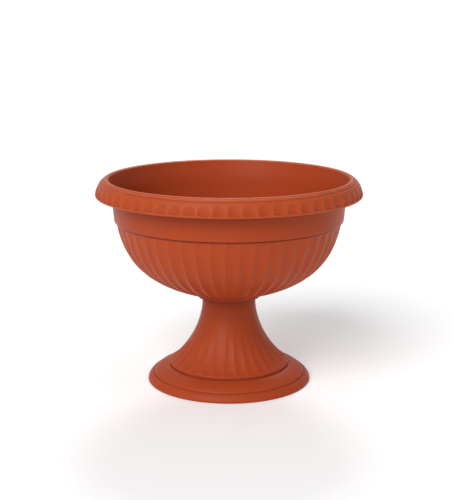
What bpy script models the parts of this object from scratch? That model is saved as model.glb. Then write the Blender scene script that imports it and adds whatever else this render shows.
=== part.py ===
"""Footed garden urn: a fluted planter bowl that twist-locks onto a hollow fluted pedestal.

Metres, +Z up. The origin is the centre of the foot's underside, which is the bottom of the object.
Both mouldings are turned profiles whose every second column of points is drawn in for the flutes.
An outline runs from the top down its outer side, and comes back up its inner side.
"""
import math

import bmesh
import bpy
import numpy as np

# Driving dimensions, shared
WALL = 0.003                     # moulded wall, at the bottom of a flute
TOUCH_GAP = 0.0003               # between pieces that rest on each other
ROUND_POWER = 1.6                # roundness of the rim's mouldings, 2 is an ellipse
FOOT_POWER = 1.4                 # roundness of the foot's mouldings

# Pedestal
FOOT_RADIUS = 0.1246
FOOT_EDGE_HEIGHT = 0.002         # plain upright edge at the floor
LOWER_STEP_HEIGHT = 0.0119       # top of the foot's lower rounding
LOWER_STEP_WIDTH = 0.0081
STEP_LEDGE = 0.001               # flat ledge above each rounding
UPPER_STEP_HEIGHT = 0.0243       # top of the foot's upper rounding
STEM_BASE_HEIGHT = 0.0289        # where the stem's flutes end
STEM_BASE_RADIUS = 0.091
STEM_FADE_HEIGHT = 0.095         # the stem's flutes die out towards this height
NECK_RADIUS = 0.0404
NECK_BASE_HEIGHT = 0.124         # where the stem's curve becomes the straight neck
SEAT_HEIGHT = 0.1357             # top of the neck, where the bowl rests
STEM_FLUTES = 30
STEM_FLUTE_DEPTH = 0.022         # share of the local radius
STEM_FLUTE_TURN = math.radians(0.5)
STEM_NECK_HANDLE = (0.0, 0.639)  # handles of the stem's curve, as shares of its width and height
STEM_BASE_HANDLE = (0.479, 0.187)

# Bowl
BAND_RADIUS = 0.177              # top of the plain band under the rim
BAND_TAPER = 0.0047
BAND_HEIGHT = 0.049
BAND_STEP = 0.003                # ledge between band and flutes, its width and height
RIM_HEIGHT = 0.0133              # crest above the band's top
RIM_OVERHANG = 0.023             # rim's widest radius beyond the band
RIM_CREST_INSET = 0.0155         # crest's radius inside the widest radius
SKIRT_DROP = 0.0238              # from the crest down to the widest radius
SKIRT_EDGE = 0.0025              # rounding under the widest radius
LIP_DEPTH = 0.0173               # inner rounding, from the crest down to the band's inner wall
BODY_HEIGHT = 0.112              # the fluted part, from the bowl's underside
BODY_FLUTES = 50
BODY_FLUTE_DEPTH = 0.0145        # share of the local radius
BODY_FLUTE_TURN = math.radians(1.4)
BODY_FADE = 0.006                # height over which a flute reaches its depth
BODY_TOP_HANDLE = (0.899, 0.394)
BODY_BASE_HANDLE = (0.581, 0.167)
BODY_BASE_WIDTH = 0.003          # body's lower end beyond the collar

# Collar and twist lock
COLLAR_WALL = 0.006
COLLAR_DROP = 0.006              # collar's lower edge under the bowl's underside
COLLAR_EDGE = 0.001
NECK_CLEARANCE = 0.0006
FLANGE_REACH = 0.0055            # inward flange at the neck's top
SPIGOT_CLEARANCE = 0.0005
SPIGOT_DROP = 0.008
LUG_COUNT = 3
LUG_WIDTH = 0.013
LUG_HEIGHT = 0.004
LUG_CLEARANCE = 0.0005
TWIST_ANGLE = math.radians(40.0)  # from locked to the notches
STOP_WIDTH = 0.003

# Drain and its plug
DRAIN_RADIUS = 0.010
SEAT_DEPTH = 0.0005              # shallow recess in the floor, which the plug's head rests in
SEAT_CLEARANCE = 0.001           # recess beyond the head
PLUG_HEAD_RADIUS = 0.0145
PLUG_HEAD_HEIGHT = 0.0025
PLUG_DEPTH = 0.0065              # stem under the head
PLUG_TAPER = 0.0008
KNOB_RADIUS = 0.0045
KNOB_HEIGHT = 0.007

# Facets
BODY_STEPS = 2 * BODY_FLUTES
STEM_STEPS = 2 * STEM_FLUTES
PLUG_STEPS = 24
STEM_POINTS = 9                  # points of the stem's curve
BODY_POINTS = 8                  # points of the body's curve outside
LINING_POINTS = 6                # and inside
RIM_POINTS = 5                   # points of each of the rim's roundings
FOOT_POINTS = 4                  # points of the foot's lower rounding
MERGE_DISTANCE = 0.00001
POINT_REACH = 0.00002            # a vertex this near to an outline point lies on it
SHARP_ANGLE = math.radians(28.0)

# Sizes worked out from the ones above
bowl_base = SEAT_HEIGHT + TOUCH_GAP
floor_top = bowl_base + WALL
plug_seat = floor_top - SEAT_DEPTH
seat_radius = PLUG_HEAD_RADIUS + SEAT_CLEARANCE
body_top = bowl_base + BODY_HEIGHT
band_bottom = body_top + BAND_STEP
band_top = band_bottom + BAND_HEIGHT
crest_height = band_top + RIM_HEIGHT
rim_radius = BAND_RADIUS + RIM_OVERHANG
crest_radius = rim_radius - RIM_CREST_INSET
collar_inner = NECK_RADIUS + NECK_CLEARANCE
collar_outer = collar_inner + COLLAR_WALL
neck_inner = NECK_RADIUS - WALL
flange_inner = neck_inner - FLANGE_REACH
spigot_outer = flange_inner - SPIGOT_CLEARANCE
spigot_inner = spigot_outer - WALL
flange_bottom = SEAT_HEIGHT - WALL
lug_top = flange_bottom - TOUCH_GAP
lug_outer = math.sqrt((neck_inner - LUG_CLEARANCE) ** 2 - (LUG_WIDTH / 2) ** 2)


def clear_objects():
    """Remove what the file opened with."""
    for item in list(bpy.data.objects):
        bpy.data.objects.remove(item, do_unlink=True)


def make_collection(name):
    """Return a new collection under the scene's own."""
    collection = bpy.data.collections.new(name)
    bpy.context.scene.collection.children.link(collection)
    return collection


def make_material(name, colour, roughness):
    """Return a Principled material."""
    material = bpy.data.materials.new(name)
    material.use_nodes = True
    shader = material.node_tree.nodes["Principled BSDF"]
    shader.inputs["Base Color"].default_value = (*colour, 1.0)
    shader.inputs["Roughness"].default_value = roughness
    shader.inputs["Metallic"].default_value = 0.0
    return material


def bezier(start, end, start_handle, end_handle, count):
    """Return a cubic curve's points; handles are shares of the way from the narrow low corner."""
    low = np.array([min(start[0], end[0]), min(start[1], end[1])])
    size = np.abs(np.subtract(end, start))
    handle_a = low + size * start_handle
    handle_b = low + size * end_handle
    t = np.linspace(0.0, 1.0, count)[:, None]
    curve = (1 - t) ** 3 * np.array(start) + 3 * (1 - t) ** 2 * t * handle_a
    curve += 3 * (1 - t) * t ** 2 * handle_b + t ** 3 * np.array(end)
    return [tuple(point) for point in curve]


def rounding(radius, height, width, rise, power, count):
    """Return a quarter superellipse about (radius, height), from its top to its side."""
    angles = np.linspace(0.0, math.pi / 2, count)
    out = radius + width * np.abs(np.sin(angles)) ** (2 / power)
    up = height + rise * np.abs(np.cos(angles)) ** (2 / power)
    return list(zip(out, up))


def inset(points, distances):
    """Return the points moved square to their line, to the right of its direction."""
    line = np.array(points)
    ahead = np.gradient(line, axis=0)
    ahead /= np.linalg.norm(ahead, axis=1)[:, None]
    side = np.column_stack([ahead[:, 1], -ahead[:, 0]])
    return [tuple(point) for point in line + side * np.array(distances)[:, None]]


def stem_curve():
    """Return the stem's outer line, top to bottom."""
    top = (NECK_RADIUS, NECK_BASE_HEIGHT)
    bottom = (STEM_BASE_RADIUS, STEM_BASE_HEIGHT)
    return bezier(top, bottom, STEM_NECK_HANDLE, STEM_BASE_HANDLE, STEM_POINTS)


def stem_depths(points):
    """Return the flute depth at each point: full at the stem's base, none at the fade height."""
    share = [(STEM_FADE_HEIGHT - z) / (STEM_FADE_HEIGHT - STEM_BASE_HEIGHT) for r, z in points]
    return [STEM_FLUTE_DEPTH * r * min(1.0, max(0.0, 2 * s)) for (r, z), s in zip(points, share)]


def body_curve(count):
    """Return the bowl body's outer line, top to bottom."""
    top = (BAND_RADIUS - BAND_TAPER - BAND_STEP, body_top)
    bottom = (collar_outer + BODY_BASE_WIDTH, bowl_base)
    return bezier(top, bottom, BODY_TOP_HANDLE, BODY_BASE_HANDLE, count)


def body_depths(points):
    """Return the flute depth at each point, fading at both ends of the body."""
    ends = [min(body_top - z, z - bowl_base) / BODY_FADE for r, z in points]
    return [BODY_FLUTE_DEPTH * r * min(1.0, max(0.0, end)) for (r, z), end in zip(points, ends)]


def pedestal_outline():
    """Return the pedestal's closed outline."""
    ledge = STEM_BASE_RADIUS + STEP_LEDGE
    step_radius = FOOT_RADIUS - LOWER_STEP_WIDTH
    upper = (step_radius - STEP_LEDGE - ledge, UPPER_STEP_HEIGHT - LOWER_STEP_HEIGHT)
    lower = (LOWER_STEP_WIDTH, LOWER_STEP_HEIGHT - FOOT_EDGE_HEIGHT)
    outer = [(flange_inner, SEAT_HEIGHT), (NECK_RADIUS - COLLAR_EDGE, SEAT_HEIGHT)]
    outer += [(NECK_RADIUS, SEAT_HEIGHT - COLLAR_EDGE)] + stem_curve()
    outer += [(STEM_BASE_RADIUS, UPPER_STEP_HEIGHT)]
    outer += rounding(ledge, LOWER_STEP_HEIGHT, *upper, FOOT_POWER, FOOT_POINTS + 1)
    outer += rounding(step_radius, FOOT_EDGE_HEIGHT, *lower, FOOT_POWER, FOOT_POINTS)
    outer += [(FOOT_RADIUS, 0.0)]
    hollow = [(FOOT_RADIUS - WALL, 0.0)]
    hollow += rounding(step_radius - WALL, 0.0, LOWER_STEP_WIDTH - WALL / 2,
                       LOWER_STEP_HEIGHT - WALL, FOOT_POWER, FOOT_POINTS)[-2::-1]
    hollow += rounding(ledge - WALL, LOWER_STEP_HEIGHT - WALL / 2, upper[0] - WALL / 2,
                       upper[1] - WALL / 2, FOOT_POWER, FOOT_POINTS)[-2::-1]
    stem = stem_curve()
    depths = [WALL + STEM_FLUTE_DEPTH * r for r, z in stem[1:]]
    hollow += inset(stem, [WALL] + depths)[:0:-1]
    hollow += [(neck_inner, NECK_BASE_HEIGHT), (neck_inner, flange_bottom)]
    hollow += [(flange_inner, flange_bottom)]
    return outer + hollow


def bowl_outline():
    """Return the bowl's closed outline, with its collar and spigot."""
    skirt_base = crest_height - SKIRT_DROP
    outer = rounding(crest_radius, skirt_base, RIM_CREST_INSET, SKIRT_DROP, ROUND_POWER,
                     RIM_POINTS)
    outer += [(rim_radius - SKIRT_EDGE / 2, skirt_base - SKIRT_EDGE)]
    outer += [(rim_radius - SKIRT_EDGE / 2 - WALL, skirt_base - SKIRT_EDGE)]
    outer += rounding(crest_radius, skirt_base - SKIRT_EDGE, RIM_CREST_INSET - WALL,
                      SKIRT_DROP + SKIRT_EDGE - WALL, ROUND_POWER, RIM_POINTS)[-2::-1]
    outer += rounding(crest_radius, band_top, BAND_RADIUS - crest_radius, RIM_HEIGHT - WALL,
                      ROUND_POWER, RIM_POINTS - 2)[1:]
    outer += [(BAND_RADIUS - BAND_TAPER, band_bottom)]
    outer += body_curve(BODY_POINTS)
    outer += [(collar_outer, bowl_base - COLLAR_EDGE), (collar_outer, bowl_base - COLLAR_DROP)]
    outer += [(collar_inner, bowl_base - COLLAR_DROP), (collar_inner, bowl_base)]
    outer += [(spigot_outer, bowl_base), (spigot_outer, bowl_base - SPIGOT_DROP)]
    outer += [(spigot_inner, bowl_base - SPIGOT_DROP), (spigot_inner, bowl_base)]
    outer += [(DRAIN_RADIUS, bowl_base)]
    body = body_curve(LINING_POINTS)
    depths = [WALL + BODY_FLUTE_DEPTH * r for r, z in body]
    lining = inset(body, depths)[::-1]
    inner = [(DRAIN_RADIUS, plug_seat), (seat_radius, plug_seat), (seat_radius, floor_top)]
    inner += [(collar_inner, floor_top)] + lining
    inner += [(BAND_RADIUS - BAND_TAPER - WALL, band_bottom)]
    inner += rounding(crest_radius, crest_height - LIP_DEPTH,
                      BAND_RADIUS - WALL - crest_radius, LIP_DEPTH, ROUND_POWER,
                      RIM_POINTS)[:0:-1]
    return outer + inner


def plug_outline():
    """Return the drain plug's outline, from its top on the axis to its bottom on the axis."""
    head = plug_seat + TOUCH_GAP
    head_top = head + PLUG_HEAD_HEIGHT
    stem = DRAIN_RADIUS - TOUCH_GAP
    outline = [(0.0, head_top + KNOB_HEIGHT), (KNOB_RADIUS, head_top + KNOB_HEIGHT)]
    outline += [(KNOB_RADIUS, head_top), (PLUG_HEAD_RADIUS - COLLAR_EDGE, head_top)]
    outline += [(PLUG_HEAD_RADIUS, head_top - COLLAR_EDGE), (PLUG_HEAD_RADIUS, head)]
    outline += [(stem, head), (stem - PLUG_TAPER, head - PLUG_DEPTH), (0.0, head - PLUG_DEPTH)]
    return outline


def turned(name, outline, steps, turn, closed, collection):
    """Return a mesh object: the outline turned once about Z by a Screw modifier, then baked."""
    mesh = bpy.data.meshes.new(name + "_outline")
    points = [(r * math.cos(turn), r * math.sin(turn), z) for r, z in outline]
    edges = [(i, i + 1) for i in range(len(points) - 1)]
    if closed:
        edges.append((len(points) - 1, 0))
    mesh.from_pydata(points, edges, [])
    piece = bpy.data.objects.new(name, mesh)
    collection.objects.link(piece)
    screw = piece.modifiers.new("turn", "SCREW")
    screw.steps = steps
    screw.render_steps = steps
    screw.use_merge_vertices = True
    screw.merge_threshold = MERGE_DISTANCE
    graph = bpy.context.evaluated_depsgraph_get()
    baked = bpy.data.meshes.new_from_object(piece.evaluated_get(graph))
    piece.modifiers.clear()
    piece.data = baked
    baked.name = name
    bpy.data.meshes.remove(mesh)
    return piece


def cut_flutes(piece, points, depths, flutes, turn):
    """Draw in every second column of the points that lie on the given outline points."""
    mesh = piece.data
    flat = np.empty(3 * len(mesh.vertices), dtype=np.float32)
    mesh.vertices.foreach_get("co", flat)
    places = flat.reshape(-1, 3).astype(float)
    radii = np.hypot(places[:, 0], places[:, 1])
    columns = np.rint((np.arctan2(places[:, 1], places[:, 0]) - turn) * flutes / math.pi)
    valley = columns.astype(int) % 2 == 1
    for (radius, height), depth in zip(points, depths):
        near = np.abs(radii - radius) + np.abs(places[:, 2] - height) < POINT_REACH
        places[near & valley, :2] *= 1.0 - depth / radius
    mesh.vertices.foreach_set("co", places.astype(np.float32).ravel())
    mesh.update()


def block(name, inner, outer, width, low, high, angle, collection):
    """Return a box that reaches outwards along a radius at the given angle."""
    mesh = bpy.data.meshes.new(name)
    form = bmesh.new()
    bmesh.ops.create_cube(form, size=1.0)
    for vert in form.verts:
        across = vert.co.y * width
        along = inner + (vert.co.x + 0.5) * (outer - inner)
        vert.co.x, vert.co.y = (along * math.cos(angle) - across * math.sin(angle),
                                along * math.sin(angle) + across * math.cos(angle))
        vert.co.z = low + (vert.co.z + 0.5) * (high - low)
    form.to_mesh(mesh)
    form.free()
    box = bpy.data.objects.new(name, mesh)
    collection.objects.link(box)
    box.hide_render = True
    box.display_type = "WIRE"
    return box


def combine(piece, other, operation):
    """Add an exact Boolean modifier."""
    boolean = piece.modifiers.new(other.name, "BOOLEAN")
    boolean.operation = operation
    boolean.solver = "EXACT"
    boolean.object = other


def finish(piece, material):
    """Give a piece its material and smooth shading with sharp steps."""
    piece.data.materials.clear()
    piece.data.materials.append(material)
    piece.data.shade_smooth()
    piece.data.set_sharp_from_angle(angle=SHARP_ANGLE)


def make_pedestal(parts, cutters, material):
    """Build the pedestal: foot, fluted stem, neck and notched flange with its stops."""
    piece = turned("pedestal", pedestal_outline(), STEM_STEPS, STEM_FLUTE_TURN, True, parts)
    points = stem_curve()
    cut_flutes(piece, points, stem_depths(points), STEM_FLUTES, STEM_FLUTE_TURN)
    notch_width = LUG_WIDTH + 2 * LUG_CLEARANCE
    half_lug = math.asin((LUG_WIDTH / 2 + STOP_WIDTH / 2 + LUG_CLEARANCE) / flange_inner)
    for index in range(LUG_COUNT):
        locked = 2 * math.pi * index / LUG_COUNT
        notch = block(f"notch_{index}", spigot_inner, lug_outer + LUG_CLEARANCE / 2, notch_width,
                      flange_bottom - WALL, SEAT_HEIGHT + WALL, locked + TWIST_ANGLE, cutters)
        combine(piece, notch, "DIFFERENCE")
        for side, angle in (("lock", locked - half_lug), ("open", locked + TWIST_ANGLE + half_lug)):
            stop = block(f"stop_{side}_{index}", flange_inner + WALL / 2, neck_inner + WALL / 2,
                         STOP_WIDTH, flange_bottom - LUG_HEIGHT, flange_bottom + WALL / 2, angle,
                         cutters)
            combine(piece, stop, "UNION")
    finish(piece, material)


def make_bowl(parts, cutters, material):
    """Build the bowl: rim, band, fluted body, collar and the spigot with its lugs."""
    piece = turned("bowl", bowl_outline(), BODY_STEPS, BODY_FLUTE_TURN, True, parts)
    points = body_curve(BODY_POINTS)
    cut_flutes(piece, points, body_depths(points), BODY_FLUTES, BODY_FLUTE_TURN)
    for index in range(LUG_COUNT):
        lug = block(f"lug_{index}", spigot_outer - WALL / 2, lug_outer, LUG_WIDTH,
                    lug_top - LUG_HEIGHT, lug_top, 2 * math.pi * index / LUG_COUNT, cutters)
        combine(piece, lug, "UNION")
    finish(piece, material)


def make_plug(parts, material):
    """Build the push-in drain plug."""
    piece = turned("drain_plug", plug_outline(), PLUG_STEPS, 0.0, False, parts)
    finish(piece, material)


def main():
    """Build the urn."""
    clear_objects()
    parts = make_collection("garden_urn")
    cutters = make_collection("cutters")
    moulding = make_material("terracotta_plastic", (0.40, 0.068, 0.024), 0.48)
    plug = make_material("plug_plastic", (0.30, 0.05, 0.02), 0.55)
    make_pedestal(parts, cutters, moulding)
    make_bowl(parts, cutters, moulding)
    make_plug(parts, plug)


main()
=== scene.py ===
"""Looks of a garden urn in moulded terracotta plastic: a fluted bowl, its pedestal and a drain plug.

Both mouldings are turned profiles carried round the vertical axis on a grid, and the grid is then
pushed square to its surface for the flutes and scoops. Lengths are metres, heights are from the floor.
"""
import logging
import math
from dataclasses import dataclass, field
from enum import Enum
from typing import Sequence

import bpy
import numpy as np
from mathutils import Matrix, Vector


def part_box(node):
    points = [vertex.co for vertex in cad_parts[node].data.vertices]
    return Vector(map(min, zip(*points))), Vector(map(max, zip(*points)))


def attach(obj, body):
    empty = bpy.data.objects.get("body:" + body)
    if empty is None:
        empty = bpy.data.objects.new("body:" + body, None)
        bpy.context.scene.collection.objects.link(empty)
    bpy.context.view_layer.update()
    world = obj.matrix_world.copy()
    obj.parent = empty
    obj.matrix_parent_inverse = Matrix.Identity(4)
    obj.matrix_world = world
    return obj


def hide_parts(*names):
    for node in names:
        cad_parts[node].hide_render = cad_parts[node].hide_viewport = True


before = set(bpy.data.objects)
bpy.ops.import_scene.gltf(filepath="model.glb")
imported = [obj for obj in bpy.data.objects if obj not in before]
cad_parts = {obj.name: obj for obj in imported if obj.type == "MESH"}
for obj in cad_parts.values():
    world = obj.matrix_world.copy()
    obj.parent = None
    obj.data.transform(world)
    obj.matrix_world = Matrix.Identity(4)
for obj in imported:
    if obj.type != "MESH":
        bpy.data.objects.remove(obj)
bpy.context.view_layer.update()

LOG = logging.getLogger("garden_urn")
Array = np.ndarray
Point = tuple[float, float]
SAME_POINT = 1e-5  # closer points count as one
HIDDEN = 0.4  # painted-light value of the faces that the lock hides: plain colour


class Body(Enum):
    """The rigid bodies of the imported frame."""

    PEDESTAL = "pedestal"
    BOWL = "bowl"
    PLUG = "drain_plug"


class Slot(Enum):
    """The record's material slots."""

    MOULDING = "terracotta_plastic"
    PLUG = "plug_plastic"


# ---------------------------------------------------------------- profile lines

def bezier(start: Point, end: Point, start_handle: Point, end_handle: Point, count: int) -> Array:
    """Return a cubic curve between two points.

    Args:
        start: first point, as radius and height.
        end: last point.
        start_handle: first handle, as shares of the curve's width and height from its low corner.
        end_handle: second handle, in the same shares.
        count: number of points.

    Returns:
        Points by the Bernstein sum of the two ends and the two handles.
    """
    ends = np.array([start, end])
    low, size = ends.min(axis=0), np.ptp(ends, axis=0)
    hull = np.array([start, low + size * start_handle, low + size * end_handle, end])
    t = np.linspace(0.0, 1.0, count)[:, None]
    weights = np.hstack([(1 - t) ** 3, 3 * (1 - t) ** 2 * t, 3 * (1 - t) * t ** 2, t ** 3])
    return weights @ hull


def rounding(centre: Point, width: float, rise: float, power: float, count: int,
             begin: float = 0.0) -> Array:
    """Return a quarter of a superellipse, from its top to its side.

    Args:
        centre: radius and height of the centre.
        width: reach along the radius, negative towards the axis.
        rise: reach upwards.
        power: 2 is an ellipse, 1 a straight chamfer.
        count: number of points.
        begin: share of the quarter turn that is left out at the top.

    Returns:
        Points whose width and rise follow sine and cosine to the power 2 / power.
    """
    angle = np.linspace(begin * math.pi / 2, math.pi / 2, count)
    out = centre[0] + width * np.abs(np.sin(angle)) ** (2 / power)
    up = centre[1] + rise * np.abs(np.cos(angle)) ** (2 / power)
    return np.column_stack([out, up])


def softened(points: Sequence[Point], radii: Sequence[float], count: int = 4) -> Array:
    """Return a line with its corners rounded.

    Args:
        points: corners of an open line.
        radii: how far each rounding reaches along its two sides, 0 keeps the corner.
        count: number of points in each rounding.

    Returns:
        The line; a rounding is the parabola that touches both sides at its reach.
    """
    line = np.array(points, dtype=float)
    t = np.linspace(0.0, 1.0, count)[:, None]
    out = [line[:1]]
    for before, corner, after, reach in zip(line[:-2], line[1:-1], line[2:], radii[1:-1]):
        if reach <= 0.0:
            out.append(corner[None])
            continue
        back, ahead = before - corner, after - corner
        start = corner + back * min(0.5, reach / np.linalg.norm(back))
        end = corner + ahead * min(0.5, reach / np.linalg.norm(ahead))
        out.append((1 - t) ** 2 * start + 2 * (1 - t) * t * corner + t ** 2 * end)
    out.append(line[-1:])
    return np.vstack(out)


def running(line: Array) -> Array:
    """Return the length along a line up to each of its points."""
    return np.concatenate([[0.0], np.cumsum(np.linalg.norm(np.diff(line, axis=0), axis=1))])


def spaced(line: Array, step: float) -> Array:
    """Return a line's points spread evenly along it, about a step apart.

    Args:
        line: points of an open line.
        step: wanted distance between points.

    Returns:
        Points at equal shares of the running length, both ends kept.
    """
    run = running(line)
    at = np.linspace(0.0, run[-1], max(2, round(run[-1] / step) + 1))
    return np.column_stack([np.interp(at, run, line[:, 0]), np.interp(at, run, line[:, 1])])


def joined(*lines: Array) -> Array:
    """Join lines end to end.

    Args:
        lines: open lines, in order.

    Returns:
        One line, without the points that repeat the one before.
    """
    line = np.vstack(lines)
    fresh = np.linalg.norm(np.diff(line, axis=0), axis=1) > SAME_POINT
    return line[np.concatenate([[True], fresh])]


def rightward(line: Array) -> Array:
    """Return a line's normals.

    Args:
        line: points of an open line.

    Returns:
        Unit vectors square to the line at each point, to the right of its direction.
    """
    ahead = np.gradient(line, axis=0)
    ahead /= np.linalg.norm(ahead, axis=1)[:, None]
    return np.column_stack([ahead[:, 1], -ahead[:, 0]])


def inset(line: Array, distance: Array | float) -> Array:
    """Return a line moved square to itself, to the right of its direction.

    Args:
        line: points of an open line.
        distance: how far, one value or one for each point.

    Returns:
        Each point plus its right-hand normal times the distance.
    """
    return line + rightward(line) * np.reshape(distance, (-1, 1))


def step_up(value: Array, low: float, high: float) -> Array:
    """Return 0 below low, 1 above high and the smooth cubic step between."""
    t = np.clip((value - low) / (high - low), 0.0, 1.0)
    return t * t * (3 - 2 * t)


# ---------------------------------------------------------------- grids round the axis

@dataclass(frozen=True)
class Pattern:
    """A hollow repeated evenly round the axis.

    Attributes:
        count: how many hollows.
        turn: angle of the first edge between two hollows, in radians.
        crowding: 0 spreads the columns evenly, near 1 crowds them at the edges.
    """

    count: int
    turn: float
    crowding: float = 0.72

    def phase(self, angle: Array) -> Array:
        """Return each angle's place in its hollow, from 0 at one edge to 1 at the next."""
        return np.mod((angle - self.turn) * self.count / (2 * math.pi), 1.0)

    def crowd(self, angle: Array) -> Array:
        """Return the shift that draws angles to the edges: minus a sine of the phase."""
        return -self.crowding * np.sin(2 * math.pi * self.phase(angle)) / self.count

    def even(self, columns: int) -> Array:
        """Return evenly spread angles for a number of columns, the first on an edge."""
        return self.turn + np.arange(columns) * 2 * math.pi / columns


def hollow(across: Array, along: Array, softness: float, power: float = 2.0) -> Array:
    """Return the depth of a rounded hollow, 1 at its middle and 0 at its edge.

    Args:
        across: place from one edge, -1, to the other, 1.
        along: 0 in the straight part, rising to 1 at the hollow's round end.
        softness: how much the edge is rounded over, as a share of the depth.
        power: 2 is a round hollow, more makes its middle flatter.

    Returns:
        One minus a power of the distance from the middle line, clipped at 0, with its kink at
        the edge eased by a hyperbola.
    """
    bowl = np.clip(1.0 - (across ** 2 + along ** 2) ** (power / 2), 0.0, None)
    eased = np.sqrt(bowl ** 2 + softness ** 2) - softness
    return eased / (math.sqrt(1.0 + softness ** 2) - softness)


def corner_shade(line: Array, corners: Sequence[Point], reach: float) -> Array:
    """Return each row's painted-shade value, darkest in the corners of a profile.

    Args:
        line: the rows' radius and height.
        corners: the corners.
        reach: how far the painted shade spreads from each.

    Returns:
        0.5, falling to -0.5 in the corners by the smooth step of the distance to the nearest.
    """
    away = np.linalg.norm(line[:, None] - np.array(corners)[None], axis=2).min(axis=1)
    return 0.5 - (1.0 - step_up(away, reach * 0.35, reach))


def ring_faces(first: int, first_count: int, second: int, second_count: int) -> Array:
    """Return the faces between two rings, the second lower or further along the profile.

    Args:
        first: index of the first ring's first vertex.
        first_count: number of its vertices.
        second: index of the second ring's first vertex.
        second_count: number of its vertices: as many, half or twice as many.

    Returns:
        Quads between equal rings, or five-sided faces where one ring has half the columns.
    """
    few = np.arange(min(first_count, second_count))
    step = (few + 1) % len(few)
    if first_count == second_count:
        return np.column_stack([first + few, second + few, second + step, first + step])
    many = 2 * len(few)
    if first_count > second_count:
        faces = [first + 2 * few, second + few, second + step,
                 first + (2 * few + 2) % many, first + 2 * few + 1]
    else:
        faces = [first + few, second + 2 * few, second + 2 * few + 1,
                 second + (2 * few + 2) % many, first + step]
    return np.column_stack(faces)


@dataclass
class TurnedSkin:
    """A closed skin made of rings round the vertical axis.

    Attributes:
        name: name of the mesh object.
        rings: for each block of rows, its places as an array of rows, columns and x, y, z.
        painted_light: for each block, a mask of painted light: high values get a painted highlight,
            low values a painted shade, middle values the plain colour.
        loops: True joins the last ring to the first, False closes both ends with a point.
    """

    name: str
    rings: list[Array] = field(default_factory=list)
    painted_light: list[Array] = field(default_factory=list)
    loops: bool = True

    def add(self, places: Array, painted_light: Array | float) -> None:
        """Add a block of rows.

        Args:
            places: x, y, z of every row and column.
            painted_light: each point's painted highlight or painted shade value, or one value for all.
        """
        self.rings.append(places)
        self.painted_light.append(np.broadcast_to(painted_light, places.shape[:2]))

    def plain(self, line: Array, angles: Array, painted_light: Array | float = 0.5) -> None:
        """Add a block of rows with nothing pressed into them.

        Args:
            line: the rows' radius and height.
            angles: the columns' angles.
            painted_light: the rows' painted highlight or painted shade value, one value or one for
                each.
        """
        self.add(turn_profile(line, angles), np.reshape(painted_light, (-1, 1)))

    def make(self, smooth_angle: float = math.radians(38.0)) -> bpy.types.Object:
        """Build the mesh object.

        Args:
            smooth_angle: steeper edges between faces are shaded sharp.

        Returns:
            The object, linked to the scene, with a point attribute that carries the painted highlight
            and painted shade.
        """
        counts = [block.shape[1] for block in self.rings for _ in range(block.shape[0])]
        starts = np.concatenate([[0], np.cumsum(counts)])
        places = np.vstack([block.reshape(-1, 3) for block in self.rings])
        painted_light = np.concatenate([block.ravel() for block in self.painted_light])
        pairs = [(row, row + 1) for row in range(len(counts) - 1)]
        if self.loops:
            pairs.append((len(counts) - 1, 0))
        faces = []
        for one, two in pairs:
            faces += ring_faces(int(starts[one]), counts[one], int(starts[two]), counts[two]).tolist()
        if not self.loops:
            places, painted_light, ends = self._close(places, painted_light, counts, starts)
            faces += ends
        mesh = bpy.data.meshes.new(self.name)
        mesh.from_pydata(places.tolist(), [], faces)
        mesh.update()
        mesh.attributes.new("painted_light", "FLOAT", "POINT").data.foreach_set(
            "value", painted_light.astype(np.float32))
        mesh.shade_smooth()
        mesh.set_sharp_from_angle(angle=smooth_angle)
        return linked(self.name, mesh)

    @staticmethod
    def _close(places: Array, painted_light: Array, counts: list[int],
               starts: Array) -> tuple[Array, Array, list[list[int]]]:
        """Close the first and the last ring with a point on the axis.

        Args:
            places: all places.
            painted_light: each place's painted highlight or painted shade value.
            counts: vertices in each ring.
            starts: index of each ring's first vertex.

        Returns:
            Places and painted-light values with the two poles, and the triangles that reach them.
        """
        base = int(starts[-2])
        poles = np.array([places[:counts[0]].mean(axis=0), places[base:].mean(axis=0)])
        poles[:, :2] = 0.0
        first, last = np.arange(counts[0]), np.arange(counts[-1])
        top = [np.full_like(first, len(places)), first, (first + 1) % len(first)]
        low = [np.full_like(last, len(places) + 1), base + (last + 1) % len(last), base + last]
        ends = np.column_stack(top).tolist() + np.column_stack(low).tolist()
        return np.vstack([places, poles]), np.concatenate([painted_light, [0.5, 0.5]]), ends


def linked(name: str, data: bpy.types.ID) -> bpy.types.Object:
    """Make an object in the scene.

    Args:
        name: its name.
        data: its mesh, light or camera.

    Returns:
        The object.
    """
    item = bpy.data.objects.new(name, data)
    bpy.context.scene.collection.objects.link(item)
    return item


def turned(radius: Array, angles: Array, height: Array) -> Array:
    """Return x, y, z of points given by radius, angle and height, each as a grid, row or column."""
    return np.stack(np.broadcast_arrays(
        radius * np.cos(angles), radius * np.sin(angles), height), axis=-1)


def turn_profile(line: Array, angles: Array, depth: Array | float = 0.0) -> Array:
    """Carry a profile round the axis and press it in.

    Args:
        line: the profile, radius and height for each row.
        angles: one angle for each column, or a grid of rows and columns.
        depth: how far each point goes in, square to the profile, in a grid or as one value.

    Returns:
        x, y, z of every row and column.
    """
    inward = rightward(line)
    return turned(line[:, :1] + inward[:, :1] * depth, angles, line[:, 1:] + inward[:, 1:] * depth)


# ---------------------------------------------------------------- shaders

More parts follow.
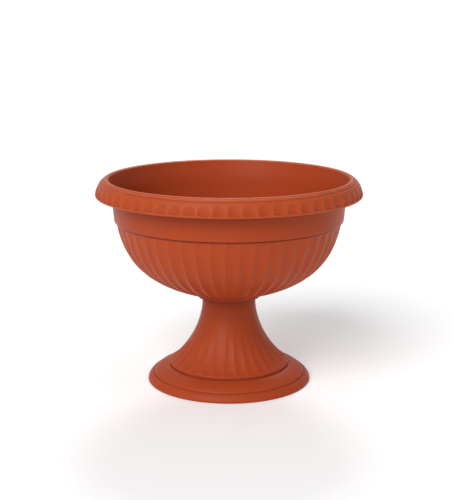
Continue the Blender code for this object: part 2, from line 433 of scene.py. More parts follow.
class Value:
    """A shader socket that takes part in Python sums; each operator adds a Math node."""

    def __init__(self, graph: "Graph", socket: bpy.types.NodeSocket) -> None:
        """Wrap a socket.

        Args:
            graph: the graph that the socket is in.
            socket: an output socket.
        """
        self.graph = graph
        self.socket = socket

    def _math(self, operation: str, left: "Value | float", right: "Value | float") -> "Value":
        """Return the result of a Math node.

        Args:
            operation: the node's operation.
            left: its first value.
            right: its second value.

        Returns:
            The node's output.
        """
        return self.graph.node("ShaderNodeMath", {"operation": operation}, {0: left, 1: right})

    def __add__(self, other: "Value | float") -> "Value":
        """Return the sum."""
        return self._math("ADD", self, other)

    __radd__ = __add__

    def __sub__(self, other: "Value | float") -> "Value":
        """Return the difference."""
        return self._math("SUBTRACT", self, other)

    def __rsub__(self, other: float) -> "Value":
        """Return a number minus this value."""
        return self._math("SUBTRACT", other, self)

    def __mul__(self, other: "Value | float") -> "Value":
        """Return the product."""
        return self._math("MULTIPLY", self, other)

    __rmul__ = __mul__


class Graph:
    """A material's node tree, with one method that adds any node."""

    def __init__(self, name: str) -> None:
        """Start a material.

        Args:
            name: the material's name.
        """
        self.material = bpy.data.materials.new(name)
        self.material.use_nodes = True
        self.tree = self.material.node_tree
        self.shader = self.tree.nodes["Principled BSDF"]

    def node(self, kind: str, settings: dict | None = None, inputs: dict | None = None,
             output: str | int = 0) -> Value:
        """Add a node.

        Args:
            kind: the node's type.
            settings: its own properties, set first.
            inputs: a value or a link for each named or numbered socket.
            output: the socket to return.

        Returns:
            The chosen output, wrapped.
        """
        node = self.tree.nodes.new(kind)
        for name, value in (settings or {}).items():
            setattr(node, name, value)
        for name, value in (inputs or {}).items():
            self.feed(node.inputs[name], value)
        return Value(self, node.outputs[output])

    def feed(self, socket: bpy.types.NodeSocket, value: "Value | float | Sequence[float]") -> None:
        """Link a value to an input socket, or set it there.

        Args:
            socket: the input.
            value: a wrapped socket, a number or a colour.
        """
        if isinstance(value, Value):
            self.tree.links.new(value.socket, socket)
        else:
            socket.default_value = value

    def noise(self, place: Value, scale: float, detail: float = 2.0) -> Value:
        """Return a noise value around 0.5.

        Args:
            place: where it is read.
            scale: how many blotches to a metre.
            detail: octaves.

        Returns:
            The noise's value.
        """
        return self.node("ShaderNodeTexNoise", {"noise_dimensions": "3D"},
                         {"Vector": place, "Scale": scale, "Detail": detail, "Roughness": 0.55})

    def mix(self, share: Value, one: Sequence[float] | Value, two: Sequence[float] | Value) -> Value:
        """Return a colour between two.

        Args:
            share: 0 gives the first, 1 the second.
            one: first colour.
            two: second colour.

        Returns:
            The mixed colour.
        """
        return self.node("ShaderNodeMix", {"data_type": "RGBA"},
                         {"Factor": share, 6: self._rgba(one), 7: self._rgba(two)}, 2)

    @staticmethod
    def _rgba(colour: Sequence[float] | Value) -> Sequence[float] | Value:
        """Return a colour with its alpha, or the link that stands for one."""
        return colour if isinstance(colour, Value) else (*colour, 1.0)


@dataclass(frozen=True)
class MouldedPlastic:
    """Pigmented polypropylene from a finely etched mould.

    Attributes:
        name: the material's name.
        pigment: the plain colour, linear.
        fleck_and_highlight: the colour of the pale flecks, and of the painted highlight on crests,
            edges and ribs.
        deep: the colour of the pigment's darker clouds.
        shade_colour: the dark colour of the painted shade in corners, under ledges and on the neck.
        tone: how bright all four colours are; below 1 it paints shade over a whole piece.
        roughness: the satin of the etched skin.
        gloss: how strongly the skin reflects, as a share of twice a clear plastic's reflection.
        grain: height of the etched grain, in metres.
        ripple: height of the wall's slow ripple, in metres.
        index: refractive index.
        clouds, flow, speck, swell: blotches to a metre of the colour's clouds, the flow marks, the
            grain and the ripple.
    """

    name: str
    pigment: tuple[float, float, float] = (0.385, 0.0575, 0.0160)
    fleck_and_highlight: tuple[float, float, float] = (0.500, 0.1250, 0.0460)
    deep: tuple[float, float, float] = (0.358, 0.0515, 0.0140)
    shade_colour: tuple[float, float, float] = (0.190, 0.0240, 0.0080)
    tone: float = 1.0
    roughness: float = 0.42
    gloss: float = 0.10
    grain: float = 0.00003
    ripple: float = 0.00012
    index: float = 1.49
    clouds: float = 9.0
    flow: float = 42.0
    speck: float = 900.0
    swell: float = 26.0

    def material(self) -> bpy.types.Material:
        """Build the material.

        Returns:
            A Principled material whose colour, roughness and bump follow place and the painted-light
            mask; the colour carries painted highlight and painted shade.
        """
        graph = Graph(self.name)
        place = graph.node("ShaderNodeTexCoord", output="Object")
        painted_light = graph.node("ShaderNodeAttribute", {"attribute_name": "painted_light"}, output="Fac")
        clouds = graph.noise(place, self.clouds, 3.0)
        flow = graph.noise(place, self.flow, 2.0)
        speck = graph.noise(place, self.speck, 1.0)
        pigment, fleck_and_highlight, deep, shade_colour = (
            [self.tone * part for part in colour]
            for colour in (self.pigment, self.fleck_and_highlight, self.deep, self.shade_colour))
        toned = graph.mix((clouds - 0.35) * 1.2, deep, pigment)
        flecked = graph.mix((speck - 0.56) * 0.9, toned, fleck_and_highlight)
        # painted highlight: pale colour where the painted-light mask is high, on crests, edges and
        # ribs
        with_painted_highlight = graph.mix((painted_light - 0.70) * 3.2 * flow, flecked, fleck_and_highlight)
        # painted shade: dark colour where the painted-light mask is low, in corners, under ledges, on
        # the neck
        with_painted_shade = graph.mix((0.30 - painted_light) * 1.3, with_painted_highlight, shade_colour)
        graph.feed(graph.shader.inputs["Base Color"], with_painted_shade)
        satin = self.roughness + (flow - 0.5) * 0.10 + (speck - 0.5) * 0.06 - (painted_light - 0.5) * 0.05
        graph.feed(graph.shader.inputs["Roughness"], satin)
        graph.shader.inputs["IOR"].default_value = self.index
        graph.shader.inputs["Specular IOR Level"].default_value = self.gloss
        height = speck * self.grain + graph.noise(place, self.swell, 1.0) * self.ripple
        bump = graph.node("ShaderNodeBump", None,
                          {"Strength": 0.8, "Distance": 1.0, "Height": height})
        graph.feed(graph.shader.inputs["Normal"], bump)
        return graph.material


# ---------------------------------------------------------------- the twist lock

@dataclass(frozen=True)
class TwistLock:
    """Three lugs under the bowl that turn beneath the pedestal's notched flange.

    Attributes:
        wall: thickness of neck, flange and spigot.
        neck_radius: outside of the pedestal's neck.
        seat: height of the neck's top.
        gap: between bowl and pedestal where they rest on each other.
        reach: how far the flange reaches in from the neck's inside.
        clearance: between spigot and flange, and between lugs and neck.
        lug_width: across a lug, along the turn.
        lug_height: height of a lug.
        stop_width: across a stop rib.
        twist: turn from locked to the notches, in radians.
        count: how many lugs.
    """

    wall: float
    neck_radius: float
    seat: float
    gap: float = 0.0003
    reach: float = 0.0055
    clearance: float = 0.0005
    lug_width: float = 0.013
    lug_height: float = 0.004
    stop_width: float = 0.003
    twist: float = math.radians(40.0)
    count: int = 3

    @property
    def neck_inner(self) -> float:
        """Inside radius of the neck."""
        return self.neck_radius - self.wall

    @property
    def flange_inner(self) -> float:
        """Inside radius of the flange."""
        return self.neck_inner - self.reach

    @property
    def flange_bottom(self) -> float:
        """Height of the flange's underside."""
        return self.seat - self.wall

    @property
    def spigot_outer(self) -> float:
        """Outside radius of the bowl's spigot."""
        return self.flange_inner - self.clearance

    @property
    def lug_outer(self) -> float:
        """Radius that a lug's end reaches."""
        return self.neck_inner - 2 * self.clearance

    def spread(self, angles: Array, centre: float, width: float, radius: float,
               ease: float = 0.0004) -> Array:
        """Return 1 within a width along the turn, round each of the lock's centres.

        Args:
            angles: the columns' angles.
            centre: angle of the first centre.
            width: distance along the turn.
            radius: where the width is measured.
            ease: how far the edges are eased.

        Returns:
            A mask, 1 inside and 0 outside, with smooth edges.
        """
        pitch = 2 * math.pi / self.count
        off = np.abs(np.mod(angles - centre + pitch / 2, pitch) - pitch / 2) * radius
        return 1.0 - step_up(off, width / 2 - ease, width / 2 + ease)

    def notched_edge(self, angles: Array) -> Array:
        """Return the flange's inner edge.

        Args:
            angles: the columns' angles.

        Returns:
            Its radius at each angle, stepped out past the lugs' ends within the notches.
        """
        width = self.lug_width + 2 * self.clearance
        notch = self.spread(angles, self.twist, width, self.lug_outer)
        return self.flange_inner + (self.lug_outer + self.clearance / 2 - self.flange_inner) * notch


# ---------------------------------------------------------------- bowl

@dataclass
class Bowl:
    """The bowl: rolled scalloped rim, plain band, fluted body, collar and spigot.

    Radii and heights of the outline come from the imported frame; the rest are the bowl's own sizes.

    Attributes:
        rim_radius: widest radius.
        crest: height of the rim's crest.
        lock: the twist lock that it shares with the pedestal.
        wall: moulded wall.
    """

    rim_radius: float
    crest: float
    lock: TwistLock
    wall: float = 0.003
    rim_power: float = 1.6
    crest_inset: float = 0.0155
    skirt_drop: float = 0.0238
    overhang: float = 0.023
    rim_height: float = 0.0133
    web_power: float = 1.2
    web_flare: float = 0.003
    band_taper: float = 0.0047
    band_height: float = 0.049
    band_step: float = 0.003
    body_height: float = 0.112
    body_top_handle: Point = (0.899, 0.394)
    body_base_handle: Point = (0.581, 0.167)
    base_width: float = 0.003
    collar_wall: float = 0.006
    collar_drop: float = 0.006
    collar_gap: float = 0.0006
    spigot_drop: float = 0.008
    drain_radius: float = 0.010
    seat_radius: float = 0.0155
    seat_depth: float = 0.0005
    flutes: Pattern = Pattern(50, math.radians(1.4))
    flute_share: float = 0.112
    flute_softness: float = 0.10
    scoops: Pattern = Pattern(60, math.radians(5.0), 0.55)
    scoop_depth: float = 0.0025
    scoop_foot: float = 0.0011
    scoop_width: float = 0.97
    scoop_taper: float = 0.10
    scoop_spring: float = 0.0092
    scoop_arch: float = 0.0074
    columns: int = 600

    @property
    def base(self) -> float:
        """Height of the bowl's underside."""
        return self.lock.seat + self.lock.gap

    @property
    def floor(self) -> float:
        """Height of the floor inside."""
        return self.base + self.wall

    @property
    def plug_seat(self) -> float:
        """Height of the shallow recess that the plug's head rests in."""
        return self.floor - self.seat_depth

    @property
    def body_top(self) -> float:
        """Height of the fluted body's top."""
        return self.base + self.body_height

    @property
    def band_bottom(self) -> float:
        """Height of the band's lower edge."""
        return self.body_top + self.band_step

    @property
    def band_top(self) -> float:
        """Height of the band's top, under the rim."""
        return self.band_bottom + self.band_height

    @property
    def band_radius(self) -> float:
        """Radius of the band's top."""
        return self.rim_radius - self.overhang

    @property
    def crest_radius(self) -> float:
        """Radius of the rim's crest."""
        return self.rim_radius - self.crest_inset

    @property
    def collar_inner(self) -> float:
        """Inside radius of the collar."""
        return self.lock.neck_radius + self.collar_gap

    @property
    def collar_outer(self) -> float:
        """Outside radius of the collar."""
        return self.collar_inner + self.collar_wall

    def body_line(self, step: float) -> Array:
        """Draw the body's outer line.

        Args:
            step: distance between its points.

        Returns:
            A cubic curve from the band down to the collar.
        """
        top = (self.band_radius - self.band_taper - self.band_step, self.body_top)
        bottom = (self.collar_outer + self.base_width, self.base)
        curve = bezier(top, bottom, self.body_top_handle, self.body_base_handle, 400)
        return spaced(curve, step)

    def lip_line(self) -> Array:
        """Return the rim's top, from its crest out over a narrow ledge to the groove round it."""
        top, crest = self.crest, self.crest_radius
        return softened([(crest - 0.0004, top), (crest + 0.0012, top - 0.0002),
                         (crest + 0.0016, top - 0.0014), (crest + 0.0022, top - 0.0015),
                         (crest + 0.0038, top - 0.0017), (crest + 0.0045, top - 0.0049),
                         (crest + 0.0060, top - 0.0055), (crest + 0.0076, top - 0.0053)],
                        [0.0, 0.0005, 0.0003, 0.0003, 0.0007, 0.0008, 0.0006, 0.0], 3)

    def skirt_line(self) -> Array:
        """Draw the skirt.

        Returns:
            A superellipse from the groove down to the widest radius, closer spaced near its foot.
        """
        base = self.crest - self.skirt_drop
        skirt = rounding((self.crest_radius, base), self.crest_inset, self.skirt_drop,
                         self.rim_power, 300, begin=0.40)
        low = skirt[:, 1] < base + self.scoop_foot + 0.0020
        return joined(spaced(skirt[~low], 0.0013), spaced(skirt[low], 0.0005))

    def edge_line(self) -> Array:
        """Return the rounded lower edge of the skirt."""
        base = self.crest - self.skirt_drop
        return joined(softened([(self.rim_radius, base), (self.rim_radius - 0.0002, base - 0.0018),
                                (self.rim_radius - 0.0016, base - 0.0026),
                                (self.rim_radius - 0.0028, base - 0.0024)],
                               [0.0, 0.0012, 0.0010, 0.0], 3)[1:])

    def under_line(self) -> Array:
        """Draw the rim's underside and the band.

        Returns:
            The skirt's inside, the web's superellipse out to the band, the band leaning in and the
            step above the flutes.
        """
        base = self.crest - self.skirt_drop
        inner = rounding((self.crest_radius, base - 0.0022), self.crest_inset - self.wall,
                         self.skirt_drop + 0.0022 - self.wall, self.rim_power, 7)[::-1]
        web = rounding((self.crest_radius, self.band_top),
                       self.band_radius + self.web_flare - self.crest_radius,
                       self.rim_height - self.wall, self.web_power, 6)[1:]
        low = self.band_radius - self.band_taper
        bend = (self.band_radius - self.band_taper * 0.24, self.band_top - self.band_height * 0.24)
        hem = (low + 0.0006, self.body_top + 0.0070)
        band = spaced(np.array([bend, hem]), 0.0030)
        step = softened([hem, (low + 0.0001, self.body_top + 0.0013),
                         (low - self.band_step, self.body_top + 0.0009),
                         (low - self.band_step, self.body_top)],
                        [0.0, 0.0024, 0.0003, 0.0], 4)
        return joined(inner, web, band, step)

    def throat_line(self) -> Array:
        """Draw the band's inner wall.

        Returns:
            A straight wall that leans slowly inwards, and the bead up to the inside of the crest.
        """
        top, crest = self.crest, self.crest_radius
        inside = self.band_radius - self.wall
        wall = softened([(inside - self.band_taper, self.band_bottom),
                         (inside - 0.0013, self.band_top - 0.0130),
                         (crest - 0.0050, top - 0.0034)],
                        [0.0, 0.0110, 0.0], 8)
        bead = softened([(crest - 0.0050, top - 0.0034), (crest - 0.0044, top - 0.0012),
                         (crest - 0.0021, top - 0.0003), (crest - 0.0008, top)],
                        [0.0, 0.0009, 0.0010, 0.0], 4)
        return joined(wall, bead)

    def collar_line(self) -> Array:
        """Return the collar's outside, below the body."""
        return softened([(self.collar_outer + self.base_width, self.base),
                         (self.collar_outer, self.base - 0.0008),
                         (self.collar_outer, self.base - self.collar_drop)],
                        [0.0, 0.0008, 0.0])

    def hidden_line(self) -> tuple[Array, Array]:
        """Draw what the collar hides.

        Returns:
            The collar's socket with the underside in to the spigot, and the spigot's outside.
        """
        low = self.base - self.collar_drop
        socket = softened([(self.collar_outer, low), (self.collar_inner, low),
                           (self.collar_inner, self.base), (self.lock.spigot_outer, self.base)],
                          [0.0, 0.0005, 0.0005, 0.0], 2)
        foot = self.base - self.spigot_drop
        spigot = spaced(np.array([(self.lock.spigot_outer, self.base - 0.0002),
                                  (self.lock.spigot_outer, foot)]), 0.00055)
        return socket, spigot

    def inner_line(self) -> Array:
        """Draw the bowl's inside.

        Returns:
            The spigot's inside, the drain, the floor with its recess and the wall up to the crest,
            which keeps the moulded wall's thickness behind the flutes.
        """
        inside = self.lock.spigot_outer - self.wall
        foot = self.base - self.spigot_drop
        floor = softened([(self.lock.spigot_outer, foot), (inside, foot), (inside, self.base),
                          (self.drain_radius, self.base), (self.drain_radius, self.plug_seat),
                          (self.seat_radius, self.plug_seat), (self.seat_radius, self.floor),
                          (self.collar_inner, self.floor)],
                         [0.0, 0.0005, 0.0005, 0.0005, 0.0008, 0.0002, 0.0002, 0.0], 2)
        body = self.body_line(0.0075)
        share = self.flute_share * 2 * math.pi / self.flutes.count
        lining = inset(body, self.wall + share * body[:, 0])[::-1]
        lining = lining[lining[:, 1] > self.floor + 0.0004]
        return joined(floor, lining, self.throat_line())

    def build(self) -> bpy.types.Object:
        """Build the bowl's skin.

        Returns:
            The bowl, one closed mesh.
        """
        skin = TurnedSkin("bowl_moulding")
        even, fine = self.flutes.even(self.columns), self.flutes.even(2 * self.columns)
        coarse = even[::2]
        lip, under, collar = self.lip_line(), self.under_line()[1:-1], self.collar_line()[1:]
        groove = [(self.crest_radius + 0.0018, self.crest - 0.0014),
                  (self.crest_radius + 0.0048, self.crest - 0.0052)]
        step = (self.band_radius - self.band_taper - self.band_step, self.body_top + 0.0004)
        shade = (self.band_radius - 0.0012, self.crest - self.skirt_drop - 0.0035)
        # painted highlight on the lip's bead, painted shade in the groove behind it
        bead = 0.45 * (1 - step_up(lip[:, 0] - self.crest_radius, 0.0008, 0.0016))
        lip_light = 0.60 + 0.6 * corner_shade(lip, groove, 0.0011) + bead
        skin.plain(lip[:-2], coarse, lip_light[:-2])
        skin.plain(lip[-2:], even, lip_light[-2:])
        self._add_skirt(skin, self.skirt_line(), fine)
        # painted highlight on the skirt's lower edge
        skin.plain(self.edge_line(), even, 0.8)
        # painted shadow under the band's step and under the skirt's overhang
        shade_mask = np.minimum(corner_shade(under, [step], 0.0020),
                          0.15 + 0.7 * corner_shade(under, [shade], 0.0080))
        skin.plain(under, coarse, shade_mask)
        self._add_body(skin, self.body_line(0.0009), even)
        # painted shade round the foot of the collar, under the bowl
        skin.plain(collar, coarse, corner_shade(collar, [tuple(collar[-1])], 0.0024) + 0.15)
        socket, spigot = self.hidden_line()
        skin.plain(socket[1:], coarse)
        skin.add(self._lugged(spigot, coarse), HIDDEN)
        inner = self.inner_line()[1:]
        # painted highlight along the inside of the crest
        edge = step_up(inner[:, 1], self.crest - 0.0034, self.crest - 0.0016)
        skin.plain(inner, coarse, 0.5 + 0.4 * edge)
        return skin.make()

    def _add_skirt(self, skin: TurnedSkin, line: Array, fine: Array) -> None:
        """Add the skirt with its scoops.

        Args:
            skin: the skin to add to.
            line: the skirt's profile.
            fine: evenly spread angles of the columns.
        """
        height = line[:, 1:] - (self.crest - self.skirt_drop)
        gather = step_up(height, 0.0, 0.0012) * (1 - step_up(height, 0.0150, 0.0180))
        angles = fine + gather * self.scoops.crowd(fine)
        width = self.scoop_width - self.scoop_taper * np.clip(height / self.scoop_spring, 0.0, 1.0)
        across = (2 * self.scoops.phase(angles) - 1) / width
        along = np.clip((height - self.scoop_spring) / self.scoop_arch, 0.0, None)
        foot = step_up(height, self.scoop_foot - 0.0004, self.scoop_foot + 0.0006)
        shape = hollow(across, along, 0.07, 2.0) * foot
        deepen = 1.0 - 0.72 * step_up(height, 0.002, 0.0165)
        # painted highlight on the shoulder and the ribs between the scoops
        skin.add(turn_profile(line, angles, self.scoop_depth * shape * deepen),
                 0.78 - 0.34 * shape * deepen)

    def _add_body(self, skin: TurnedSkin, line: Array, even: Array) -> None:
        """Add the body with its flutes.

        Args:
            skin: the skin to add to.
            line: the body's profile.
            even: evenly spread angles of the columns.
        """
        run = running(line)
        keep = (run < 0.008) | (np.arange(len(run)) % 5 == 0) | (run > run[-1] - 0.0005)
        line, run = line[keep], run[keep, None]
        gather = step_up(run, 0.0, 0.004) * (1 - step_up(run, run[-1] - 0.006, run[-1]))
        angles = even + gather * self.flutes.crowd(even)
        across = 2 * self.flutes.phase(angles) - 1
        pitch = 2 * math.pi * line[:, :1] / self.flutes.count
        along = np.clip((0.0062 - run) / 0.0052, 0.0, None)
        fade = 1 - step_up(run, run[-1] - 0.022, run[-1] - 0.004)
        fade = fade * (0.62 + 0.36 * step_up(run, 0.0, 0.045))
        shape = hollow(across, along, self.flute_softness) * fade
        # painted shadow under the band's step, painted shade towards the collar, faint painted
        # highlight on the arrises
        shade_mask = 1.3 * (1 - step_up(run, 0.0008, 0.0026)) + step_up(run, run[-1] - 0.016, run[-1])
        skin.add(turn_profile(line, angles, self.flute_share * pitch * shape),
                 0.74 - 0.50 * shape - 0.9 * shade_mask)

    def _lugged(self, line: Array, angles: Array) -> Array:
        """Return the spigot's outside with its lugs.

        Args:
            line: the spigot's profile, top to bottom.
            angles: the columns' angles.

        Returns:
            Places whose radius steps out where a lug's height and width masks are both 1.
        """
        top = self.lock.flange_bottom - self.lock.gap
        height = line[:, 1:]
        tall = step_up(height, top - self.lock.lug_height - 0.0003, top - self.lock.lug_height)
        tall = tall * (1 - step_up(height, top - 0.0003, top))
        wide = self.lock.spread(angles, 0.0, self.lock.lug_width, self.lock.lug_outer)
        radius = line[:, :1] + (self.lock.lug_outer - line[:, :1]) * tall * wide
        return turned(radius, angles, height)


# ---------------------------------------------------------------- pedestal

@dataclass
class Pedestal:
    """The pedestal: stepped foot, fluted stem and plain neck, hollow and open below.

    Attributes:
        foot_radius: widest radius.
        lock: the twist lock that it shares with the bowl.
        wall: moulded wall.
    """

    foot_radius: float
    lock: TwistLock
    wall: float = 0.003
    foot_power: float = 1.4
    edge_height: float = 0.002
    lower_height: float = 0.0119
    lower_width: float = 0.0081
    ledge: float = 0.001
    upper_height: float = 0.0243
    stem_base: float = 0.0289
    stem_radius: float = 0.091
    fade_height: float = 0.098
    neck_base: float = 0.124
    neck_handle: Point = (0.0, 0.639)
    base_handle: Point = (0.479, 0.187)
    flutes: Pattern = Pattern(30, math.radians(0.5))
    flute_share: float = 0.085
    flute_softness: float = 0.16
    columns: int = 480

    def stem_line(self, step: float) -> Array:
        """Draw the stem's outer line.

        Args:
            step: distance between its points.

        Returns:
            A cubic curve from the neck down to the foot.
        """
        curve = bezier((self.lock.neck_radius, self.neck_base), (self.stem_radius, self.stem_base),
                       self.neck_handle, self.base_handle, 400)
        return spaced(curve, step)

    def foot_line(self) -> Array:
        """Draw the foot's outside.

        Returns:
            The ring under the stem, the upper rounding, the step and the lower rounding.
        """
        ledge = self.stem_radius + self.ledge
        step = self.foot_radius - self.lower_width
        ring = softened([(self.stem_radius, self.stem_base),
                         (self.stem_radius + 0.0004, self.stem_base - 0.0008),
                         (self.stem_radius + 0.0002, self.upper_height - 0.0004),
                         (ledge + 0.0004, self.upper_height)],
                        [0.0, 0.0006, 0.0006, 0.0])
        upper = rounding((ledge, self.lower_height), step - self.ledge - ledge,
                         self.upper_height - self.lower_height, self.foot_power, 200, begin=0.08)
        nick = np.array([(step - self.ledge, self.lower_height - 0.0008),
                         (step, self.lower_height - 0.0006)])
        lower = rounding((step, self.edge_height), self.lower_width,
                         self.lower_height - self.edge_height, self.foot_power, 200, begin=0.06)
        edge = softened([(self.foot_radius, self.edge_height), (self.foot_radius, 0.0),
                         (self.foot_radius - 0.001, 0.0)], [0.0, 0.0006, 0.0])
        return joined(spaced(ring, 0.0006), spaced(upper, 0.0016), nick, spaced(lower, 0.0011),
                      edge)

    def hollow_line(self) -> Array:
        """Draw the hollow.

        Returns:
            The inside from the foot's lower edge up to the neck, a wall's thickness behind it all.
        """
        ledge = self.stem_radius + self.ledge - self.wall
        step = self.foot_radius - self.lower_width - self.wall
        low = rounding((step, 0.0), self.lower_width - self.wall / 2,
                       self.lower_height - self.wall, self.foot_power, 10)[::-1]
        high = rounding((ledge, self.lower_height - self.wall / 2),
                        step + self.wall / 2 - self.ledge - ledge,
                        self.upper_height - self.lower_height - self.wall / 2,
                        self.foot_power, 10)[::-1]
        stem = self.stem_line(0.006)
        share = self.flute_share * 2 * math.pi / self.flutes.count
        lining = inset(stem, self.wall + share * stem[:, 0] * (stem[:, 1] < self.fade_height))
        edge = np.array([(self.foot_radius - self.wall, 0.0)])
        return joined(edge, low[1:], high, lining[:0:-1],
                      np.array([(self.lock.neck_inner, self.neck_base)]))

    def build(self) -> bpy.types.Object:
        """Build the pedestal's skin.

        Returns:
            The pedestal, one closed mesh.
        """
        skin = TurnedSkin("pedestal_moulding")
        even = self.flutes.even(self.columns)
        self._add_flange(skin, even)
        neck = softened([(self.lock.neck_radius - 0.0012, self.lock.seat),
                         (self.lock.neck_radius, self.lock.seat),
                         (self.lock.neck_radius, self.neck_base)], [0.0, 0.0008, 0.0])
        neck = spaced(neck, 0.0008)
        foot = self.foot_line()[1:]
        corners = [(self.stem_radius + 0.0006, self.upper_height),
                   (self.foot_radius - self.lower_width - 0.0004, self.lower_height - 0.0008)]
        # painted shade on the neck, under the bowl
        skin.plain(neck[:-1], even, 0.05)
        self._add_stem(skin, self.stem_line(0.0018), even)
        # painted shade in the corners of the foot's steps
        shade_mask = np.minimum(corner_shade(foot, corners[:1], 0.0034),
                          0.25 + corner_shade(foot, corners[1:], 0.0030))
        skin.plain(foot, even, 0.20 + 0.6 * shade_mask)
        skin.plain(self.hollow_line(), even[::2])
        self._add_stops(skin, even)
        return skin.make()

    def _add_stem(self, skin: TurnedSkin, line: Array, even: Array) -> None:
        """Add the stem, with flutes that die out towards the neck.

        Args:
            skin: the skin to add to.
            line: the stem's profile.
            even: evenly spread angles of the columns.
        """
        height = line[:, 1:]
        fade = 1 - step_up(height, self.stem_base + 0.018, self.fade_height)
        angles = even + self.flutes.crowd(even) * fade * step_up(
            height, self.stem_base, self.stem_base + 0.002)
        across = 2 * self.flutes.phase(angles) - 1
        along = np.clip((self.stem_base + 0.006 - height) / 0.0065, 0.0, None)
        shape = hollow(across, along, self.flute_softness) * fade
        pitch = 2 * math.pi * line[:, :1] / self.flutes.count
        # painted shade towards the neck, under the bowl; faint painted highlight on the arrises
        shade_mask = step_up(height, self.fade_height, self.neck_base)
        skin.add(turn_profile(line, angles, self.flute_share * pitch * shape),
                 0.74 - 0.44 * shape - 0.6 * shade_mask)

    def _add_flange(self, skin: TurnedSkin, angles: Array) -> None:
        """Add the flange's edge and top, with its notches.

        Args:
            skin: the skin to add to.
            angles: the columns' angles.
        """
        lock = self.lock
        edge = lock.notched_edge(angles)
        heights = np.linspace(lock.flange_bottom, lock.seat, 5)
        share = np.concatenate([np.zeros(5), np.linspace(0.0, 1.0, 5)[1:-1]])[:, None]
        heights = np.concatenate([heights, np.full(3, lock.seat)])[:, None]
        radius = edge + (lock.neck_radius - 0.0014 - edge) * share
        skin.add(turned(radius, angles, heights), HIDDEN)

    def _add_stops(self, skin: TurnedSkin, angles: Array) -> None:
        """Add the neck's inside with its stop ribs, and the flange's underside.

        Args:
            skin: the skin to add to.
            angles: the columns' angles.
        """
        lock = self.lock
        side = (lock.lug_width / 2 + lock.stop_width / 2 + lock.clearance) / lock.flange_inner
        ribs = lock.spread(angles, -side, lock.stop_width, lock.neck_inner)
        ribs = ribs + lock.spread(angles, lock.twist + side, lock.stop_width, lock.neck_inner)
        heights = np.linspace(self.neck_base + 0.0008, lock.flange_bottom, 14)[:, None]
        rib_low = lock.flange_bottom - lock.lug_height
        tall = step_up(heights, rib_low - 0.0003, rib_low)
        radius = lock.neck_inner - (lock.reach - self.wall / 2) * ribs * tall
        edge = np.minimum(lock.notched_edge(angles), radius[-1:])
        share = np.array([0.35, 0.7])[:, None]
        under = radius[-1:] + (edge - radius[-1:]) * share
        radius = np.vstack([radius, under])
        heights = np.vstack([heights, np.full((2, 1), lock.flange_bottom)])
        skin.add(turned(radius, angles, heights), HIDDEN)


# ---------------------------------------------------------------- drain plug

@dataclass
class DrainPlug:
    """The push-in plug: a ribbed knob on a disc, over a tapered stem with a sealing bead.

    Attributes:
        head_radius: radius of the disc.
        top: height of the knob's top.
        bottom: height of the stem's end.
        seat: height of the recess that the disc rests in.
        drain_radius: radius of the hole.
    """

    head_radius: float
    top: float
    bottom: float
    seat: float
    drain_radius: float
    gap: float = 0.0003
    head_height: float = 0.0025
    knob_radius: float = 0.0045
    taper: float = 0.0008
    ribs: Pattern = Pattern(12, 0.0, 0.3)
    rib_depth: float = 0.0004
    columns: int = 144

    def line(self) -> Array:
        """Draw the plug's profile.

        Returns:
            The knob, the disc with its groove, the bead and the tapered stem, from top to bottom.
        """
        seat = self.seat + self.gap
        head = seat + self.head_height
        stem = self.drain_radius - self.gap
        corners = [(0.0012, self.top), (self.knob_radius, self.top), (self.knob_radius, head),
                   (self.head_radius * 0.62, head), (self.head_radius * 0.68, head - 0.0004),
                   (self.head_radius * 0.74, head), (self.head_radius, head - 0.0002),
                   (self.head_radius, seat), (stem, seat), (stem, seat - 0.0032),
                   (stem - self.taper, self.bottom), (0.0012, self.bottom)]
        reach = [0.0, 0.0010, 0.0012, 0.0002, 0.0003, 0.0002, 0.0008, 0.0004, 0.0003, 0.0003,
                 0.0006, 0.0]
        return softened(corners, reach, 5)

    def build(self) -> bpy.types.Object:
        """Build the plug's skin.

        Returns:
            The plug, one closed mesh.
        """
        skin = TurnedSkin("drain_plug_moulding", loops=False)
        line = spaced(self.line(), 0.0005)
        even = self.ribs.even(self.columns)
        knob = (line[:, :1] > self.knob_radius * 0.9) & (line[:, :1] < self.knob_radius * 1.02)
        high = self.top - 0.0006
        low = self.seat + self.head_height + 0.0014
        shape = hollow(2 * self.ribs.phase(even) - 1, np.zeros(self.columns), 0.2)
        tall = step_up(line[:, 1:], low, low + 0.0008) * (1 - step_up(line[:, 1:], high, self.top))
        depth = self.rib_depth * shape * knob * tall
        skin.add(turn_profile(line, even, depth), 0.5)
        return skin.make()


# ---------------------------------------------------------------- studio

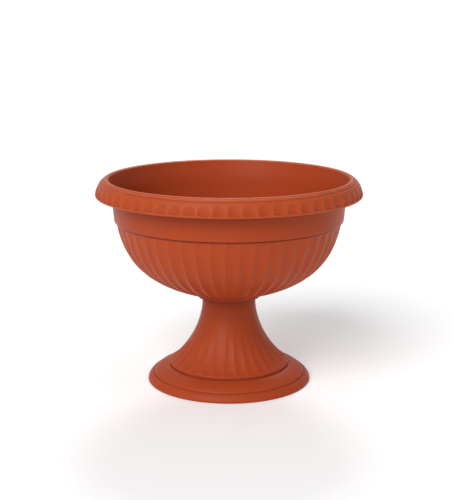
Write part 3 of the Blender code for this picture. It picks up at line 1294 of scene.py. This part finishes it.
@dataclass(frozen=True)
class Studio:
    """A white floor and soft light, with the camera a little above the urn's rim.

    Attributes:
        distance: from the camera to the urn's axis along the floor.
        height: of the camera.
        pitch: how far the camera looks down, in radians.
        aside: how far the camera stands left of the axis.
        lens: focal length for a sensor 36 mm on its long side, in mm.
    """

    distance: float = 1.736
    height: float = 0.588
    pitch: float = math.radians(12.57)
    aside: float = 0.0030
    lens: float = 84.42
    sensor: float = 36.0
    floor_size: float = 160.0
    floor_gap: float = 0.0002
    floor_white: float = 0.94
    world_white: float = 0.50

    def camera(self) -> None:
        """Place the camera."""
        data = bpy.data.cameras.new("camera")
        data.lens = self.lens
        data.sensor_width = self.sensor
        camera = linked("camera", data)
        camera.location = (-self.aside, -self.distance, self.height)
        camera.rotation_euler = (math.pi / 2 - self.pitch, 0.0, 0.0)
        bpy.context.scene.camera = camera

    def lamp(self, name: str, bearing: float, elevation: float, power: float,
             softness: float) -> None:
        """Add a distant soft light.

        Args:
            name: the light's name.
            bearing: where it comes from, in degrees from the front towards +X.
            elevation: in degrees above the floor.
            power: its strength.
            softness: the angle that it fills, in degrees.
        """
        data = bpy.data.lights.new(name, "SUN")
        data.energy = power
        data.angle = math.radians(softness)
        light = linked(name, data)
        across, up = math.radians(bearing), math.radians(elevation)
        source = Vector((math.sin(across) * math.cos(up), -math.cos(across) * math.cos(up),
                         math.sin(up)))
        light.rotation_euler = source.to_track_quat("Z", "Y").to_euler()

    def floor(self) -> bpy.types.Object:
        """Build the floor, a wide level sheet.

        Returns:
            The floor, marked as stage.
        """
        side = np.array([-0.5, 0.5]) * self.floor_size
        x, y = np.meshgrid(side, side)
        places = np.stack([x, y, np.full_like(x, -self.floor_gap)], axis=-1).reshape(-1, 3)
        mesh = bpy.data.meshes.new("studio_floor")
        mesh.from_pydata(places.tolist(), [], [(0, 1, 3, 2)])
        mesh.update()
        floor = linked("studio_floor", mesh)
        graph = Graph("studio_paper")
        place = graph.node("ShaderNodeTexCoord", output="Object")
        fibre = graph.noise(place, 300.0, 2.0)
        white = self.floor_white
        paper = graph.mix(fibre, (white, white, white), (white + 0.01, white + 0.01, white + 0.01))
        graph.feed(graph.shader.inputs["Base Color"], paper)
        graph.shader.inputs["Roughness"].default_value = 0.9
        graph.shader.inputs["Specular IOR Level"].default_value = 0.0
        mesh.materials.append(graph.material)
        return floor

    def world(self) -> None:
        """Fill the world with an even white."""
        world = bpy.data.worlds.new("studio_white")
        world.use_nodes = True
        background = world.node_tree.nodes["Background"]
        background.inputs["Color"].default_value = (1.0, 1.0, 1.0, 1.0)
        background.inputs["Strength"].default_value = self.world_white
        bpy.context.scene.world = world

    def build(self) -> None:
        """Set up camera, floor, world and lights."""
        self.camera()
        self.floor()
        self.world()
        self.lamp("key", bearing=-27.0, elevation=39.0, power=2.35, softness=40.0)
        self.lamp("back", bearing=178.0, elevation=41.0, power=0.95, softness=16.0)
        view = bpy.context.scene.view_settings
        view.view_transform = "Standard"
        view.look = "None"


def settle(piece: bpy.types.Object, node: str, body: Body,
           finish: bpy.types.Material) -> None:
    """Dress a piece and let it stand for its CAD node.

    Args:
        piece: the new piece.
        node: the CAD node that it replaces.
        body: the body that it rides on.
        finish: its material.
    """
    piece.data.materials.append(finish)
    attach(piece, body.value)
    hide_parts(node)
    LOG.info("%s: %d faces", piece.name, len(piece.data.polygons))


def main() -> None:
    """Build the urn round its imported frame."""
    logging.basicConfig(level=logging.INFO)
    Studio().build()
    bowl_box, foot_box, plug_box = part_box("bowl"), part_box("pedestal"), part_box("drain_plug")
    lock = TwistLock(wall=0.003, neck_radius=0.0404, seat=foot_box[1].z)
    bowl = Bowl(rim_radius=bowl_box[1].x, crest=bowl_box[1].z, lock=lock)
    pedestal = Pedestal(foot_radius=foot_box[1].x, lock=lock)
    plug = DrainPlug(head_radius=plug_box[1].x, top=plug_box[1].z, bottom=plug_box[0].z,
                     seat=bowl.plug_seat, drain_radius=bowl.drain_radius)
    terracotta = MouldedPlastic("terracotta_plastic").material()
    # the same plastic made darker: painted shade over the whole pedestal
    shaded_copy = MouldedPlastic("terracotta_plastic_shaded", tone=0.92).material()
    softer = MouldedPlastic("plug_plastic", pigment=(0.300, 0.0440, 0.0125),
                            roughness=0.55).material()
    settle(bowl.build(), "bowl", Body.BOWL, terracotta)
    settle(pedestal.build(), "pedestal", Body.PEDESTAL, shaded_copy)
    settle(plug.build(), "drain_plug", Body.PLUG, softer)


if __name__ == "__main__":
    main()
